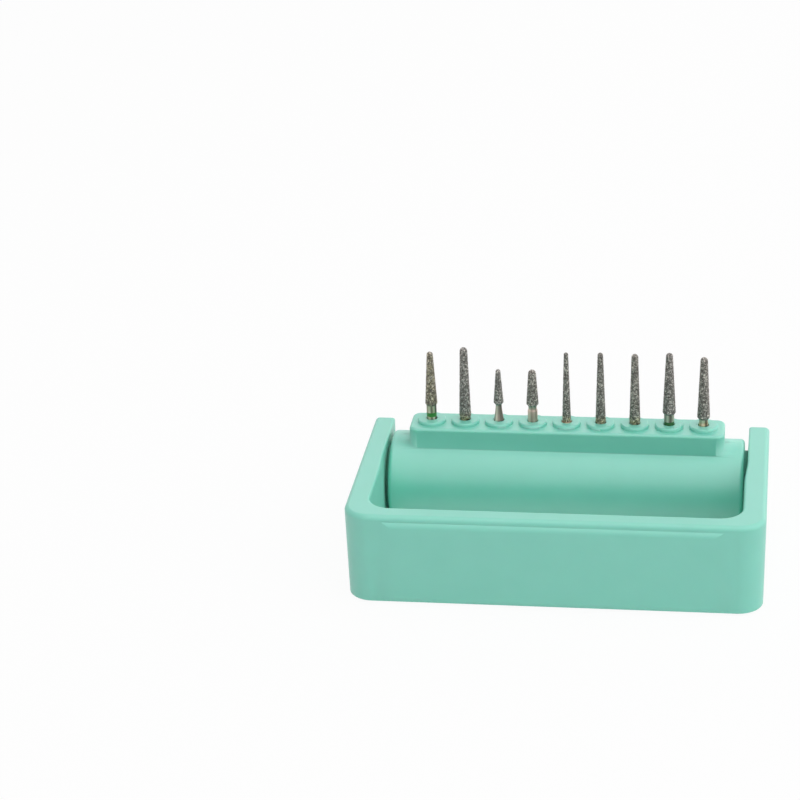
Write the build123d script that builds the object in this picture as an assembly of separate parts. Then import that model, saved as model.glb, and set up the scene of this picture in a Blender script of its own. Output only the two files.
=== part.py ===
from build123d import *
import os
from math import cos, radians, sin, sqrt, tan

# Dental bur block: a moulded base that stands a row of burs upright, and a
# U-shaped guard frame that swings on its two ends. Millimetres. The origin is
# under the pivot axis, in the middle of the foot's underside. X runs along the
# row, the folded guard lies toward -Y, and Z is up.

# Row of burs
BUR_COUNT = 9
PITCH = 5.5

# Drum, the round body of the base
PIVOT_HEIGHT = 7.85
DRUM_R = 7.75
DRUM_LENGTH = 57.2
DRUM_EDGE = 0.7

# Foot under the drum
FOOT_LENGTH = 49.5
FOOT_DEPTH = 13.0
FOOT_CORNER = 1.2
FOOT_EDGE = 0.3

# Pockets cored out of the underside, so that no wall is too thick to mould
CORE_WALL = 2.2
CORE_SKIN = 1.8
CORE_RIB = 1.6
CORE_BAYS = 4
CORE_CORNER = 1.0
CORE_DRAFT = 1.0

# Rail on top of the drum, with a collar round each hole
RAIL_END_MARGIN = 3.4
RAIL_DEPTH = 6.7
RAIL_TOP = 18.2
RAIL_CORNER = 1.35
RAIL_EDGE = 0.45
COLLAR_R = 2.3
COLLAR_HEIGHT = 0.6
COLLAR_EDGE = 0.2
SHANK_CLEARANCE = 0.04
HOLE_LEAD_IN = 0.15

# Guard frame. Its outer faces lean in toward the underside by FRAME_DRAFT degrees,
# and each arm swells by ARM_SWELL between two distances ahead of its pivot
ARM_THICKNESS = 3.3
ARM_GAP = 0.6
ARM_SWELL = 0.33
SWELL_FROM = 6.4
SWELL_TO = 12.0
FRAME_HEIGHT = 15.0
FRAME_DRAFT = 1.0
REACH = 29.3
ARM_TAIL = 7.2
CROSSBAR_THICKNESS = 3.2
OUTER_CORNER = 4.2
INNER_CORNER = 3.6
FRAME_EDGE = 0.8
SOLE_EDGE = 0.25
WINDOW_EDGE = 0.4

# Raised panel on the outer face of the crossbar: a round upper edge, a flat slope
# below, and a long shallow ramp at each end
PANEL_PROUD = 0.5
PANEL_TOP_MARGIN = 0.95
PANEL_TOP_ROUND = 1.0
PANEL_LOW_MARGIN = 0.3
PANEL_LOW_SLOPE = 0.85
PANEL_END_MARGIN = 6.05
PANEL_END_RAMP = 1.75

# Pivots: a boss on each drum end runs against the arm, and a stub runs in it
BOSS_R = 5.9
BOSS_CLEARANCE = 0.08
STUB_R = 2.0
STUB_LENGTH = 1.9
STUB_LEAD = 0.4
PIVOT_CLEARANCE = 0.06
SOCKET_END_CLEARANCE = 0.3

# Round ejector marks left by the mould on the frame's underside
MARK_R = 0.75
MARK_DEPTH = 0.1
MARK_FROM_ARM = 5.9
MARK_FROM_PIVOT = 1.2

# Burs: round shank to the standard of friction-grip handpieces
SHANK_R = 0.8
SHANK_IN_HOLE = 8.5
SHANK_END_CHAMFER = 0.2
HOLE_BOTTOM_GAP = 0.3

# One row for each bur, from left to right: length of the coated head, radius at
# its tip, radius at its widest, length and radius of the neck, bare shank left
# showing above the collar
BURS = [
    (9.30, 0.49, 0.97, 0.00, 0.80, 2.30),
    (12.20, 0.60, 0.95, 0.00, 0.80, 0.30),
    (6.10, 0.38, 0.79, 2.10, 0.49, 0.60),
    (6.25, 0.62, 0.98, 0.90, 0.68, 1.70),
    (11.70, 0.34, 0.68, 0.30, 0.62, 0.00),
    (11.80, 0.43, 0.80, 0.00, 0.80, 0.30),
    (11.70, 0.53, 0.87, 0.00, 0.80, 0.30),
    (10.60, 0.54, 1.04, 0.00, 0.80, 1.70),
    (10.70, 0.58, 1.01, 1.00, 0.71, 0.00),
]
HEAD_SHOULDER = 0.35
COAT_THICKNESS = 0.02
NECK_FLARE = 0.45

# How far a cutting shape runs past the faces it cuts through
CUT_OVERRUN = 1.0

# Places that follow from the sizes above
HALF_DRUM = DRUM_LENGTH / 2
ARM_INNER_X = HALF_DRUM + ARM_GAP
ARM_OUTER_X = ARM_INNER_X + ARM_THICKNESS
RAIL_LENGTH = (BUR_COUNT - 1) * PITCH + 2 * RAIL_END_MARGIN
COLLAR_TOP = RAIL_TOP + COLLAR_HEIGHT
HOLE_BOTTOM = COLLAR_TOP - SHANK_IN_HOLE - HOLE_BOTTOM_GAP
FRAME_BOTTOM = PIVOT_HEIGHT - FRAME_HEIGHT / 2
FRAME_TOP = PIVOT_HEIGHT + FRAME_HEIGHT / 2
CROSSBAR_INNER_Y = -(REACH - CROSSBAR_THICKNESS)


def along_x(radius, length, centre_x):
    """A round bar on the pivot axis, centred on centre_x."""
    bar = Cylinder(radius, length, rotation=(0, 90, 0))
    return Pos(centre_x, 0, PIVOT_HEIGHT) * bar


def bur_x(index):
    return (index - (BUR_COUNT - 1) / 2) * PITCH


def drum():
    body = along_x(DRUM_R, DRUM_LENGTH, 0)
    return fillet(body.edges().filter_by(GeomType.CIRCLE), DRUM_EDGE)


def foot():
    plan = RectangleRounded(FOOT_LENGTH, FOOT_DEPTH, FOOT_CORNER)
    block = extrude(plan, PIVOT_HEIGHT)
    return fillet(block.faces().sort_by(Axis.Z)[0].edges(), FOOT_EDGE)


def cores():
    """The open pockets under the base, in a row between ribs."""
    span = FOOT_LENGTH - 2 * CORE_WALL
    bay = (span - (CORE_BAYS - 1) * CORE_RIB) / CORE_BAYS
    plan = RectangleRounded(bay, FOOT_DEPTH - 2 * CORE_WALL, CORE_CORNER)
    pocket = extrude(plan, HOLE_BOTTOM - CORE_SKIN, taper=CORE_DRAFT)
    middle = (CORE_BAYS - 1) / 2
    return [Pos((bay_index - middle) * (bay + CORE_RIB), 0, 0) * pocket for bay_index in range(CORE_BAYS)]


def rail():
    plan = Pos(0, 0, PIVOT_HEIGHT) * RectangleRounded(RAIL_LENGTH, RAIL_DEPTH, RAIL_CORNER)
    block = extrude(plan, RAIL_TOP - PIVOT_HEIGHT)
    return fillet(block.faces().sort_by(Axis.Z)[-1].edges(), RAIL_EDGE)


def collar():
    ring = Pos(0, 0, RAIL_TOP) * Cylinder(COLLAR_R, COLLAR_HEIGHT, align=(Align.CENTER, Align.CENTER, Align.MIN))
    return chamfer(ring.edges().sort_by(Axis.Z)[-1], COLLAR_EDGE)


def bur_hole():
    radius = SHANK_R + SHANK_CLEARANCE
    bore = Pos(0, 0, HOLE_BOTTOM) * Cylinder(
        radius, COLLAR_TOP - HOLE_BOTTOM, align=(Align.CENTER, Align.CENTER, Align.MIN)
    )
    lead = Pos(0, 0, COLLAR_TOP - HOLE_LEAD_IN) * Cone(
        radius, radius + HOLE_LEAD_IN, HOLE_LEAD_IN, align=(Align.CENTER, Align.CENTER, Align.MIN)
    )
    return bore + lead


def boss_and_stub(side):
    boss_length = ARM_GAP - BOSS_CLEARANCE
    boss = along_x(BOSS_R, boss_length, side * (HALF_DRUM + boss_length / 2))
    stub_start = HALF_DRUM + boss_length
    stub_end = ARM_INNER_X + STUB_LENGTH
    stub = along_x(STUB_R, stub_end - stub_start, side * (stub_start + stub_end) / 2)
    stub = chamfer(stub.edges().sort_by(Axis.X)[0 if side < 0 else -1], STUB_LEAD)
    return boss + stub


def base_block():
    block = drum() + foot() + rail()
    for index in range(BUR_COUNT):
        block += Pos(bur_x(index), 0, 0) * collar()
    for index in range(BUR_COUNT):
        block -= Pos(bur_x(index), 0, 0) * bur_hole()
    for pocket in cores():
        block -= pocket
    for side in (-1, 1):
        block += boss_and_stub(side)
    return block


def frame_slab():
    """The guard frame before its window is cut: a slab with two round corners and leaning sides."""
    plan = Pos(0, (ARM_TAIL - REACH) / 2, FRAME_TOP) * Rectangle(2 * ARM_OUTER_X, REACH + ARM_TAIL)
    plan = fillet(plan.vertices().group_by(Axis.Y)[0], OUTER_CORNER)
    return extrude(plan, FRAME_HEIGHT, dir=(0, 0, -1), taper=FRAME_DRAFT)


def window():
    """The space inside the U, a little narrower ahead of the pivots, where the arms are thicker."""
    half = ARM_INNER_X - ARM_SWELL
    right = [(half, CROSSBAR_INNER_Y), (half, -SWELL_TO), (ARM_INNER_X, -SWELL_FROM), (ARM_INNER_X, REACH)]
    left = [(-x, y) for x, y in reversed(right)]
    plan = make_face(Polyline(*right, *left, close=True))
    plan = fillet(plan.vertices().group_by(Axis.Y)[0], INNER_CORNER)
    return extrude(Pos(0, 0, FRAME_BOTTOM - CUT_OVERRUN) * plan, FRAME_HEIGHT + 2 * CUT_OVERRUN)


def outer_rims(solid):
    """Edges round the outside of the U but for the arms' ends: those underneath, then those on top."""
    levels = solid.edges().group_by(Axis.Z)
    rims = []
    for level in (levels[0], levels[-1]):
        outside = []
        for edge in level:
            middle = edge.position_at(0.5)
            beside = abs(middle.X) > ARM_INNER_X + ARM_THICKNESS / 2
            ahead = middle.Y < CROSSBAR_INNER_Y - CROSSBAR_THICKNESS / 2
            if middle.Y < ARM_TAIL - CROSSBAR_THICKNESS and (beside or ahead):
                outside.append(edge)
        rims.append(outside)
    return rims


def inner_rim(solid):
    """Edges of the two flat faces round the window, and those of the arms' end faces."""
    rims = solid.edges().group_by(Axis.Z)[0] + solid.edges().group_by(Axis.Z)[-1]
    inside = []
    for edge in rims:
        middle = edge.position_at(0.5)
        between = abs(middle.X) < ARM_INNER_X + SOLE_EDGE and middle.Y > CROSSBAR_INNER_Y - SOLE_EDGE
        if between and middle.Y < ARM_TAIL - CROSSBAR_THICKNESS:
            inside.append(edge)
    for face in solid.faces().group_by(Axis.Y)[-1]:
        inside.extend(face.edges())
    return inside


def front_y(height):
    """Where the crossbar's outer face lies at a height, leaning in toward the underside."""
    return -REACH + (FRAME_TOP - height) * tan(radians(FRAME_DRAFT))


def panel():
    """The raised pad on the crossbar's outer face: its upright section, cut to its outline from above."""
    low = FRAME_BOTTOM + PANEL_LOW_MARGIN
    high = FRAME_TOP - PANEL_TOP_MARGIN
    face_low = low + PANEL_LOW_SLOPE
    face_high = high - PANEL_TOP_ROUND
    inside = CROSSBAR_INNER_Y - CROSSBAR_THICKNESS / 2
    face_end = (front_y(face_high) - PANEL_PROUD, face_high)
    lower = Polyline((inside, high), (inside, low), (front_y(low), low), (front_y(face_low) - PANEL_PROUD, face_low),
                     face_end)
    upper = TangentArc(face_end, (front_y(high), high), tangent=(0, 1))
    section = make_face(Plane.YZ * (lower + upper + Line((front_y(high), high), (inside, high))))
    half = ARM_OUTER_X - PANEL_END_MARGIN
    face_half = half - PANEL_END_RAMP
    bar = extrude(section, half, both=True)
    plan = make_face(Polyline(
        (-half, CROSSBAR_INNER_Y), (-half, -REACH), (-face_half, -REACH - PANEL_PROUD),
        (face_half, -REACH - PANEL_PROUD), (half, -REACH), (half, CROSSBAR_INNER_Y), close=True,
    ))
    lean = radians(FRAME_DRAFT)
    return bar & extrude(Pos(0, 0, FRAME_TOP) * plan, FRAME_HEIGHT, dir=(0, sin(lean), -cos(lean)))


def pivot_socket(side):
    depth = STUB_LENGTH + SOCKET_END_CLEARANCE
    return along_x(STUB_R + PIVOT_CLEARANCE, depth, side * (ARM_INNER_X + depth / 2))


def ejector_marks():
    """Shallow discs on the underside: one by each pivot, one by each end of the crossbar."""
    arm_place = ((ARM_INNER_X + ARM_OUTER_X) / 2, -MARK_FROM_PIVOT)
    bar_place = (ARM_INNER_X - MARK_FROM_ARM, -(REACH - CROSSBAR_THICKNESS / 2))
    marks = []
    for side in (-1, 1):
        for x, y in (arm_place, bar_place):
            marks.append(Pos(side * x, y, FRAME_BOTTOM) * Cylinder(MARK_R, 2 * MARK_DEPTH))
    return marks


def guard_frame():
    body = frame_slab() - window()
    body = fillet(outer_rims(body)[1], FRAME_EDGE)
    body = fillet(outer_rims(body)[0], SOLE_EDGE)
    body = fillet(inner_rim(body), WINDOW_EDGE)
    body += panel()
    for side in (-1, 1):
        body -= pivot_socket(side)
    for mark in ejector_marks():
        body -= mark
    return body


def bur(head, tip_r, wide_r, neck, neck_r, bare):
    """One turned bur on the Z axis: shank from the hole, neck, and tapered round-end head."""
    bottom = COLLAR_TOP - SHANK_IN_HOLE
    neck_bottom = COLLAR_TOP + bare
    head_bottom = neck_bottom + neck
    top = head_bottom + head
    shoulder_r = (neck_r if neck else SHANK_R) + COAT_THICKNESS
    side_top = top - tip_r
    slope = (wide_r - tip_r) / (side_top - head_bottom)
    lean = slope / sqrt(1 + slope * slope)
    tangent_r = tip_r * sqrt(1 - lean * lean)
    tangent_z = side_top + tip_r * lean
    points = [(0, bottom), (SHANK_R - SHANK_END_CHAMFER, bottom), (SHANK_R, bottom + SHANK_END_CHAMFER)]
    points.append((SHANK_R, neck_bottom))
    if neck:
        points.append((neck_r, neck_bottom + NECK_FLARE * neck))
        points.append((neck_r, head_bottom))
    points.append((shoulder_r, head_bottom))
    points.append((wide_r, head_bottom + HEAD_SHOULDER))
    points.append((tangent_r, tangent_z))
    flank = Polyline(*points)
    mid = ((1 + lean) / 2) ** 0.5
    tip = ThreePointArc(
        (tangent_r, tangent_z),
        (tip_r * sqrt(1 - mid * mid), side_top + tip_r * mid),
        (0, top),
    )
    axis_line = Line((0, top), (0, bottom))
    profile = make_face(Plane.XZ * (flank + tip + axis_line))
    return revolve(profile, Axis.Z)


def main():
    os.makedirs("parts", exist_ok=True)
    export_step(base_block(), "parts/base_block.step")
    export_step(guard_frame(), "parts/guard_frame.step")
    for index, sizes in enumerate(BURS):
        placed = Pos(bur_x(index), 0, 0) * bur(*sizes)
        export_step(placed, f"parts/bur_{index + 1}.step")


main()
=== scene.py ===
from collections import namedtuple
import math

import bmesh
import bpy
from mathutils import Matrix, Vector, noise


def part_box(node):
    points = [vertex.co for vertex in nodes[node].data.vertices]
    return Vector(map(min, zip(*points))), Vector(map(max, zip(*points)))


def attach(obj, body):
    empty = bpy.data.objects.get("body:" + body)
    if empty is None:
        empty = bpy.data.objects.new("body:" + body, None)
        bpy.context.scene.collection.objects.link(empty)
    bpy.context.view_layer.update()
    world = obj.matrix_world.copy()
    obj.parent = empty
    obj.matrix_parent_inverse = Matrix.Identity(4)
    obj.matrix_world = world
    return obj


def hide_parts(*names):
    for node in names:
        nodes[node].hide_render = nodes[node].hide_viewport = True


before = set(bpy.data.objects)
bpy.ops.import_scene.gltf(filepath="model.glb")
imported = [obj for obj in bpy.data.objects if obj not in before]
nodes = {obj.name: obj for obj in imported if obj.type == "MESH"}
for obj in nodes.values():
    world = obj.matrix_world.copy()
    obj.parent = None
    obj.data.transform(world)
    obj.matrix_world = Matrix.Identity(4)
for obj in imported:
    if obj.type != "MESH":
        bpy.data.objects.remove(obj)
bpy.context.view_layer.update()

MM = 0.001

# Camera, as the photograph was taken: the block stands right of the middle and below it
CAMERA_PLACE = Vector((33.777, -381.275, 195.327)) * MM
CAMERA_YAW = -9.078
CAMERA_ELEVATION = 24.206
CAMERA_ROLL = 2.313
CAMERA_LENS = 117.02
SENSOR = 36.0

# Soft studio light, each lamp facing the block: name, place and size in metres, power in watts
LAMPS = [
    ("overhead", (0.05, -0.05, 0.8), (0.8, 0.7), 2.2),
    ("back_window", (0.3, 1.0, 0.45), (2.0, 1.0), 3.8),
    ("front_fill", (0.05, -0.72, 0.68), (0.9, 0.7), 1.6),
    ("right_window", (0.8, -0.2, 0.5), (1.3, 0.9), 3.8),
]
WORLD_LIGHT = 0.3
FLOOR_HALF = 1.5
# How much of the floor's look is plain white; the rest of it is lit, and shows the block's shadow
FLOOR_WHITE = 0.94

# Mouldings: edges sharper than CRISP degrees stay crisp, and a face is level from this upward part
# of its normal
CRISP = 38
LEVEL = 0.99999

# Burs: sides of a turned surface, the mesh's spacing under the grit, and the grit itself. Grains are
# 0.1 mm across in life and are drawn larger to show.
BUR_SIDES = 96
GRIT_SPACING = 0.06 * MM
GRAIN = 0.16 * MM
GRAIN_HEIGHT = 0.05 * MM
# The shank's neck where it is one hollow curve: how many steps it is drawn in, and how fast it opens
NECK_STEPS = 12
NECK_FLARE = 1.6

# What each bur looks like, left to right: length of its coat and how far it stands out of its collar,
# both in mm, where its painted ring lies above the collar, how golden it is all over, how many mm up
# residue reaches, the colour of its ring, and whether its neck is one hollow curve
Look = namedtuple("Look", "coat out ring gold residue enamel trumpet")
NO_RING = (9, 9)
BUR_LOOKS = [
    Look(9.3, 11.6, (0.38, 1.08), 0.5, 0.5, "green", False),
    Look(12.4, 12.5, NO_RING, 0.0, 1.5, "green", False),
    Look(6.1, 8.8, NO_RING, 0.0, 0.0, "green", True),
    Look(6.25, 8.85, NO_RING, 0.1, 1.0, "green", False),
    Look(12.0, 12.0, NO_RING, 0.05, 1.5, "green", False),
    Look(12.0, 12.1, NO_RING, 0.05, 1.5, "green", False),
    Look(11.9, 12.0, NO_RING, 0.1, 1.6, "green", False),
    Look(10.6, 12.3, (-0.3, 0.5), 0.0, 0.0, "dark_green", False),
    Look(10.7, 11.7, NO_RING, 0.05, 1.3, "green", False),
]


def linear(code):
    """An sRGB hex colour as the linear colour that a shader takes."""
    channels = [int(code[i:i + 2], 16) / 255 for i in (0, 2, 4)]
    return [c / 12.92 if c <= 0.04045 else ((c + 0.055) / 1.055) ** 2.4 for c in channels] + [1.0]


def add_node(material, kind, settings=None, links=None):
    """Adds one node: settings are its values by socket or property, links its inputs' sources by socket.

    A socket whose name the node has twice is given by its number.
    """
    tree = material.node_tree
    made = tree.nodes.new(kind)
    for name, value in (settings or {}).items():
        if isinstance(name, int) or name in made.inputs:
            made.inputs[name].default_value = value
        else:
            setattr(made, name, value)
    for name, source in (links or {}).items():
        tree.links.new(source, made.inputs[name])
    return made


def new_material(name, values):
    """A material with its shader's plain values set, and Object coordinates to hand."""
    material = bpy.data.materials.new(name)
    material.use_nodes = True
    shader = material.node_tree.nodes["Principled BSDF"]
    for socket, value in values.items():
        shader.inputs[socket].default_value = value
    coordinates = add_node(material, "ShaderNodeTexCoord").outputs["Object"]
    return material, shader, coordinates


def link(material, output, shader, socket):
    material.node_tree.links.new(output, shader.inputs[socket])


def moulded_polypropylene():
    """Injection-moulded polypropylene: a matte, slightly waxy face with a fine spark texture.

    Light goes a little way into it, so its shadows are deep green and not grey. Its IOR and specular
    level stand above the plain resin's, to match the pale look of its upper faces.
    """
    material, shader, place = new_material("moulded_polypropylene", {
        "IOR": 1.6,
        "Specular IOR Level": 1.0,
        "Roughness": 0.5,
        "Subsurface Weight": 0.35,
        "Subsurface Radius": (0.2, 1.0, 0.65),
        "Subsurface Scale": 1.0 * MM,
        # The spark texture scatters a pale film of light at grazing angles
        "Sheen Weight": 0.08,
        "Sheen Roughness": 0.5,
        # A thin waxy skin, smoother than the texture under it, lights up where it faces a lamp
        "Coat Weight": 0.3,
        "Coat Roughness": 0.32,
    })
    # Pigment is not quite evenly mixed: clouds about 6 mm across, a few percent apart
    clouds = add_node(material, "ShaderNodeTexNoise", {"Scale": 1 / (6 * MM), "Detail": 2.0},
                      {"Vector": place})
    colour = add_node(material, "ShaderNodeMix",
                      {"data_type": "RGBA", "A": linear("6FCDB8"), "B": linear("77D3BF")},
                      {"Factor": clouds.outputs["Fac"]})
    link(material, colour.outputs["Result"], shader, "Base Color")
    # The spark texture is about 0.05 mm in life and is drawn at 0.25 mm to show
    spark = add_node(material, "ShaderNodeTexNoise", {"Scale": 1 / (0.25 * MM), "Detail": 3.0},
                     {"Vector": place})
    bump = add_node(material, "ShaderNodeBump", {"Strength": 0.25, "Distance": 0.02 * MM},
                    {"Height": spark.outputs["Fac"]})
    link(material, bump.outputs["Normal"], shader, "Normal")
    return material


def turned_steel():
    """Ground stainless steel shank: grey from many sterilisings, and browned near its hole.

    Its colour holds painted reflections: soft light and dark streaks along it, where a polished rod would
    mirror a room.
    """
    material, shader, place = new_material("turned_steel", {"Metallic": 1.0, "Roughness": 0.4})
    # Painted reflections: light and dark streaks round the shank, standing in for a mirrored room, lighten
    # and darken its colour
    painted_reflections = add_node(material, "ShaderNodeAttribute", {"attribute_name": "painted_reflection"}).outputs["Fac"]
    stains = add_node(material, "ShaderNodeAttribute", {"attribute_name": "stain"}).outputs["Fac"]
    grey = add_node(material, "ShaderNodeMix",
                    {"data_type": "RGBA", "A": linear("7E716A"), "B": linear("F0DACD")}, {"Factor": painted_reflections})
    brown = add_node(material, "ShaderNodeMix",
                     {"data_type": "RGBA", "A": linear("54452C"), "B": linear("B89C66")}, {"Factor": painted_reflections})
    colour = add_node(material, "ShaderNodeMix", {"data_type": "RGBA"},
                      {"Factor": stains, "A": grey.outputs["Result"], "B": brown.outputs["Result"]})
    link(material, colour.outputs["Result"], shader, "Base Color")
    # Turning leaves faint rings, far finer in life than they are drawn here
    rings = add_node(material, "ShaderNodeTexWave",
                     {"bands_direction": "Z", "Scale": 1 / (1.2 * MM), "Distortion": 1.5, "Detail": 2.0},
                     {"Vector": place})
    bump = add_node(material, "ShaderNodeBump", {"Strength": 0.15, "Distance": 0.01 * MM},
                    {"Height": rings.outputs["Fac"]})
    link(material, bump.outputs["Normal"], shader, "Normal")
    return material


def ring_enamel(name, code):
    """The painted grit ring: glossy enamel over the steel, dulled in patches by handling."""
    material, shader, place = new_material(name, {"Roughness": 0.3, "IOR": 1.5})
    patches = add_node(material, "ShaderNodeTexNoise", {"Scale": 1 / (0.4 * MM), "Detail": 3.0},
                       {"Vector": place})
    colour = add_node(material, "ShaderNodeMix",
                      {"data_type": "RGBA", "A": linear(code), "B": linear("3E6B33")},
                      {"Factor": patches.outputs["Fac"]})
    link(material, colour.outputs["Result"], shader, "Base Color")
    return material


def diamond_grit():
    """Diamond grains in nickel plate: each grain is its own shade, picked at random, and the palest shades
    are painted glints.

    Where the bur is stained, the plate between the grains is golden brown.
    """
    material, shader, place = new_material("diamond_grit", {"Metallic": 0.25, "Roughness": 0.35})
    grains = add_node(material, "ShaderNodeAttribute", {"attribute_name": "grain"}).outputs["Fac"]
    stains = add_node(material, "ShaderNodeAttribute", {"attribute_name": "stain"}).outputs["Fac"]
    # Each ramp runs from dark grains to pale ones; its palest stop is a painted glint, grains coloured as if
    # catching a lamp
    clean = ["4A443F", "6C6763", "94928F", "E2D9CF"]
    golden = ["463E26", "756A48", "AC9D68", "EEE2B8"]
    shades = []
    for codes in (clean, golden):
        ramp = add_node(material, "ShaderNodeValToRGB", links={"Fac": grains})
        stops = ramp.color_ramp.elements
        stops[0].color = linear(codes[0])
        stops[1].color = linear(codes[3])
        stops.new(0.4).color = linear(codes[1])
        stops.new(0.75).color = linear(codes[2])
        shades.append(ramp.outputs["Color"])
    colour = add_node(material, "ShaderNodeMix", {"data_type": "RGBA"},
                      {"Factor": stains, "A": shades[0], "B": shades[1]})
    link(material, colour.outputs["Result"], shader, "Base Color")
    return material


def new_piece(bm, name, materials):
    """The finished mesh as an object of that name, with its materials."""
    mesh = bpy.data.meshes.new(name)
    bm.to_mesh(mesh)
    bm.free()
    for material in materials:
        mesh.materials.append(material)
    piece = bpy.data.objects.new(name, mesh)
    bpy.context.scene.collection.objects.link(piece)
    return piece


def dressed_copy(node, body, material, whole_flats):
    """A joined and smoothly shaded copy of a moulded CAD piece, in its place.

    With whole_flats the triangles of each level face become one face, which keeps its normals
    upright beside the rounded edges.
    """
    bm = bmesh.new()
    bm.from_mesh(nodes[node].data)
    bmesh.ops.remove_doubles(bm, verts=bm.verts, dist=0.0005 * MM)
    if whole_flats:
        bm.normal_update()
        level = [edge for edge in bm.edges if len(edge.link_faces) == 2
                 and all(face.normal.z > LEVEL for face in edge.link_faces)]
        bmesh.ops.dissolve_limit(bm, angle_limit=math.radians(0.4), verts=[], edges=level)
    piece = new_piece(bm, node + "_moulding", [material])
    piece.data.shade_smooth()
    piece.data.set_sharp_from_angle(angle=math.radians(CRISP))
    weighted = piece.modifiers.new("even_normals", "WEIGHTED_NORMAL")
    weighted.keep_sharp = True
    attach(piece, body)
    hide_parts(node)


def outline_of(node):
    """A CAD bur's axis in X, and its outline as (height, radius) pairs from bottom to top."""
    low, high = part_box(node)
    centre = (low + high) / 2
    widest = {}
    for vertex in nodes[node].data.vertices:
        height = round(vertex.co.z, 7)
        radius = round(math.hypot(vertex.co.x - centre.x, vertex.co.y - centre.y), 7)
        widest[height] = max(radius, widest.get(height, 0.0))
    return centre.x, sorted(widest.items())


def trumpet(outline, collar_top, coat_from):
    """The outline with its neck drawn as one hollow curve from the shank up to the coat."""
    coat_start = coat_from + 0.01 * MM
    neck = min(radius for height, radius in outline if collar_top < height < coat_start)
    shank = max(radius for height, radius in outline if height <= collar_top)
    drawn = [(height, radius) for height, radius in outline if height <= collar_top]
    for step in range(NECK_STEPS + 1):
        share = step / NECK_STEPS
        height = collar_top + (coat_from - collar_top) * share
        drawn.append((height, neck + (shank - neck) * (1 - share) ** NECK_FLARE))
    return drawn + [(height, radius) for height, radius in outline if height > coat_start]


def fine_outline(outline, coat_from, ring_edges):
    """The same outline as (radius, height) pairs, closed at the axis, with extra points.

    They lie a grain apart on the coated stretch, and at the painted ring's edges.
    """
    points = [(0.0, outline[0][0])]
    for (z0, r0), (z1, r1) in zip(outline, outline[1:]):
        points.append((r0, z0))
        run = math.hypot(z1 - z0, r1 - r0)
        steps = max(1, round(run / GRIT_SPACING)) if z1 > coat_from else 1
        shares = [step / steps for step in range(1, steps)]
        shares += [(edge - z0) / (z1 - z0) for edge in ring_edges if z0 < edge < z1]
        for share in sorted(shares):
            points.append((r0 + (r1 - r0) * share, z0 + (z1 - z0) * share))
    points.append((0.0, outline[-1][0]))
    return points


def turned(points, centre_x):
    """The outline spun about its upright axis into a closed surface."""
    bm = bmesh.new()
    chain = [bm.verts.new((centre_x + radius, 0.0, height)) for radius, height in points]
    edges = [bm.edges.new(pair) for pair in zip(chain, chain[1:])]
    bmesh.ops.spin(bm, geom=chain + edges, axis=(0, 0, 1), cent=(centre_x, 0, 0), dvec=(0, 0, 0),
                   angle=2 * math.pi, steps=BUR_SIDES, use_merge=True)
    bmesh.ops.remove_doubles(bm, verts=bm.verts, dist=0.001 * MM)
    bmesh.ops.recalc_face_normals(bm, faces=bm.faces)
    bm.normal_update()
    return bm


def grit_height(point):
    """Height of the grit at a point, and the shade of the grain it is on, 0 to 1.

    Each grain is a flat facet that leans its own way and drops to the plate at its edges. The grain's
    place, times an odd number, picks its shade and its lean.
    """
    distances, cells = noise.voronoi(point / GRAIN)
    cell = cells[0]
    shade = 0.5 + noise.cell(cell * 7.31) / 2
    lean = Vector((noise.cell(cell * 3.17), noise.cell(cell * 5.93), noise.cell(cell * 2.41))) / 2
    tilt = lean.dot(point / GRAIN - cell) * 1.2
    edge = min(1.0, (distances[1] - distances[0]) * 2.2)
    return edge * (0.45 + 0.55 * shade) + tilt * edge, shade


def painted_reflection(angle, index):
    """Painted reflection on the steel at an angle round the shank, 0 to 1: four or five soft light and dark
    streaks a turn.
    """
    around = Vector((math.cos(angle) * 1.6, math.sin(angle) * 1.6, index * 5.3))
    return min(1.0, max(0.0, 0.5 + noise.noise(around) * 1.3))


def stain(point, collar_top, look):
    """How stained a bur is at a point: all over by its look, and near the collar by dried residue."""
    low = 1.0 - (point.z - collar_top) / (look.residue * MM) if look.residue else 0.0
    patchy = 0.75 + noise.noise(point / (0.5 * MM)) * 0.6
    return min(1.0, max(look.gold * patchy, min(1.0, max(0.0, low * 1.4)) * patchy * 0.8))


def bur(index, look, materials):
    """One bur: turned shank and neck, and a head covered in grit."""
    node = f"bur_{index + 1}"
    centre_x, outline = outline_of(node)
    coat_from = outline[-1][0] - look.coat * MM
    collar_top = outline[-1][0] - look.out * MM
    ring_low, ring_high = (collar_top + edge * MM for edge in look.ring)
    if look.trumpet:
        outline = trumpet(outline, collar_top, coat_from)
    bm = turned(fine_outline(outline, coat_from, (ring_low, ring_high)), centre_x)
    shade_layer = bm.verts.layers.float.new("grain")
    stain_layer = bm.verts.layers.float.new("stain")
    painted_reflection_layer = bm.verts.layers.float.new("painted_reflection")
    # Each bur takes its grit from a place of its own in the pattern
    offset = Vector((index * 0.03, 0, 0))
    for vertex in bm.verts:
        angle = math.atan2(vertex.co.y, vertex.co.x - centre_x)
        # Painted reflection: how light or dark the steel's colour runs at this angle round the shank
        vertex[painted_reflection_layer] = painted_reflection(angle, index)
        vertex[stain_layer] = stain(vertex.co, collar_top, look)
        if vertex.co.z < coat_from + 0.02 * MM:
            continue
        height, shade = grit_height(vertex.co + offset)
        vertex[shade_layer] = shade
        vertex.co += vertex.normal * (height - 0.15) * GRAIN_HEIGHT
    for face in bm.faces:
        height = face.calc_center_median().z
        face.smooth = height < coat_from
        if height >= coat_from:
            face.material_index = 1
        elif ring_low < height < ring_high:
            face.material_index = 2
    surfaces = [materials["steel"], materials["grit"], materials[look.enamel]]
    piece = new_piece(bm, f"diamond_bur_{index + 1}", surfaces)
    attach(piece, "base")
    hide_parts(node)


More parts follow.
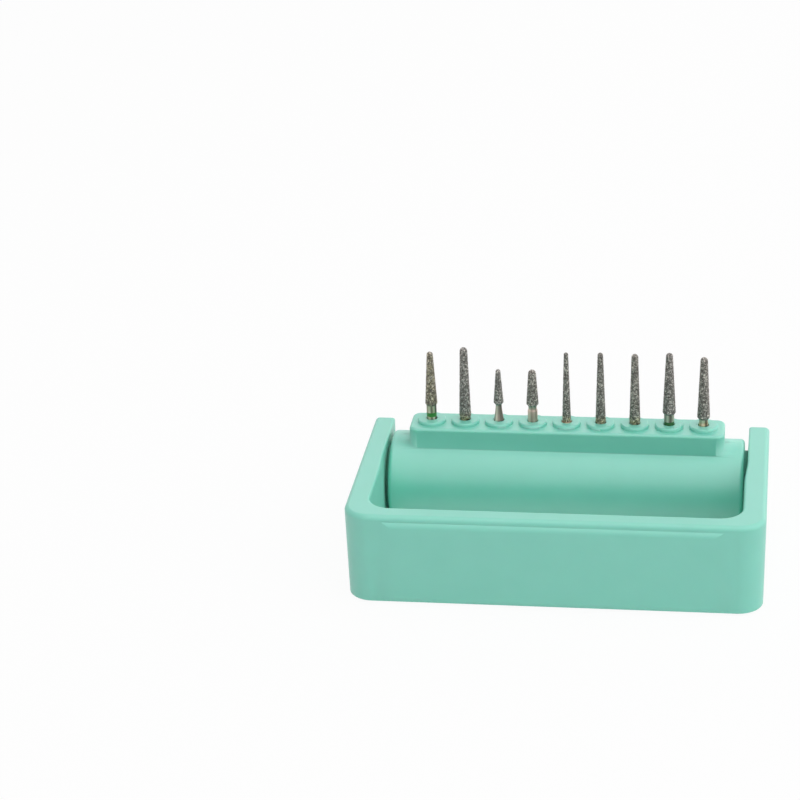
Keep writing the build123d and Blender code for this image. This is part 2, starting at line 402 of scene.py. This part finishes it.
def area_lamp(name, place, size, power):
    """A rectangular lamp that faces the block."""
    lamp = bpy.data.lights.new(name, "AREA")
    lamp.shape = "RECTANGLE"
    lamp.size, lamp.size_y = size
    lamp.energy = power
    holder = bpy.data.objects.new(name, lamp)
    bpy.context.scene.collection.objects.link(holder)
    holder.location = place
    holder.rotation_euler = (-Vector(place)).to_track_quat("-Z", "Y").to_euler()


def white_where_seen(owner, lit, share):
    """Makes a surface or the world plain white by share where it is looked at or mirrored.

    The rest of its look, and the light it gives to what stands on it, stay as lit.
    """
    rays = add_node(owner, "ShaderNodeLightPath").outputs
    seen = rays["Is Camera Ray"]
    for kind in ("Is Glossy Ray", "Is Transmission Ray"):
        either = add_node(owner, "ShaderNodeMath", {"operation": "MAXIMUM"}, {0: seen, 1: rays[kind]})
        seen = either.outputs[0]
    part = add_node(owner, "ShaderNodeMath", {"operation": "MULTIPLY", 1: share}, {0: seen})
    white = add_node(owner, "ShaderNodeEmission", {"Color": (1, 1, 1, 1), "Strength": 1.0})
    mix = add_node(owner, "ShaderNodeMixShader",
                   links={0: part.outputs[0], 1: lit, 2: white.outputs[0]})
    return mix.outputs[0]


def white_floor():
    bm = bmesh.new()
    bmesh.ops.create_grid(bm, x_segments=1, y_segments=1, size=FLOOR_HALF)
    material, shader, place = new_material("white_sweep", {"Roughness": 0.9, "Base Color": linear("F4F4F4")})
    out = material.node_tree.nodes["Material Output"]
    mixed = white_where_seen(material, shader.outputs[0], FLOOR_WHITE)
    material.node_tree.links.new(mixed, out.inputs["Surface"])
    # Not sampled as a lamp, so that what shines shows the whole of its white
    material.cycles.emission_sampling = "NONE"
    new_piece(bm, "floor", [material])


def white_world():
    world = bpy.data.worlds.new("studio")
    bpy.context.scene.world = world
    world.use_nodes = True
    back = world.node_tree.nodes["Background"]
    back.inputs["Color"].default_value = (1, 1, 1, 1)
    back.inputs["Strength"].default_value = WORLD_LIGHT
    out = world.node_tree.nodes["World Output"]
    mixed = white_where_seen(world, back.outputs[0], 1.0)
    world.node_tree.links.new(mixed, out.inputs["Surface"])


def camera():
    yaw, elevation, roll = (math.radians(a) for a in (CAMERA_YAW, CAMERA_ELEVATION, CAMERA_ROLL))
    forward = Vector((math.sin(yaw) * math.cos(elevation), math.cos(yaw) * math.cos(elevation),
                      -math.sin(elevation)))
    level = Vector((math.cos(yaw), -math.sin(yaw), 0))
    down = forward.cross(level)
    right = math.cos(roll) * level + math.sin(roll) * down
    up = math.sin(roll) * level - math.cos(roll) * down
    data = bpy.data.cameras.new("camera")
    data.lens = CAMERA_LENS
    data.sensor_width = SENSOR
    data.clip_start = 0.01
    data.clip_end = 20
    holder = bpy.data.objects.new("camera", data)
    bpy.context.scene.collection.objects.link(holder)
    turn = Matrix((right, up, -forward)).transposed().to_4x4()
    holder.matrix_world = Matrix.Translation(CAMERA_PLACE) @ turn
    bpy.context.scene.camera = holder


def build():
    plastic = moulded_polypropylene()
    dressed_copy("base_block", "base", plastic, whole_flats=True)
    dressed_copy("guard_frame", "frame", plastic, whole_flats=False)
    materials = {
        "steel": turned_steel(),
        "grit": diamond_grit(),
        "green": ring_enamel("green_ring", "2F9A3A"),
        "dark_green": ring_enamel("dark_green_ring", "1F5A2C"),
    }
    for index, look in enumerate(BUR_LOOKS):
        bur(index, look, materials)


camera()
white_floor()
white_world()
for lamp_row in LAMPS:
    area_lamp(*lamp_row)
build()
bpy.context.scene.view_settings.view_transform = "Standard"
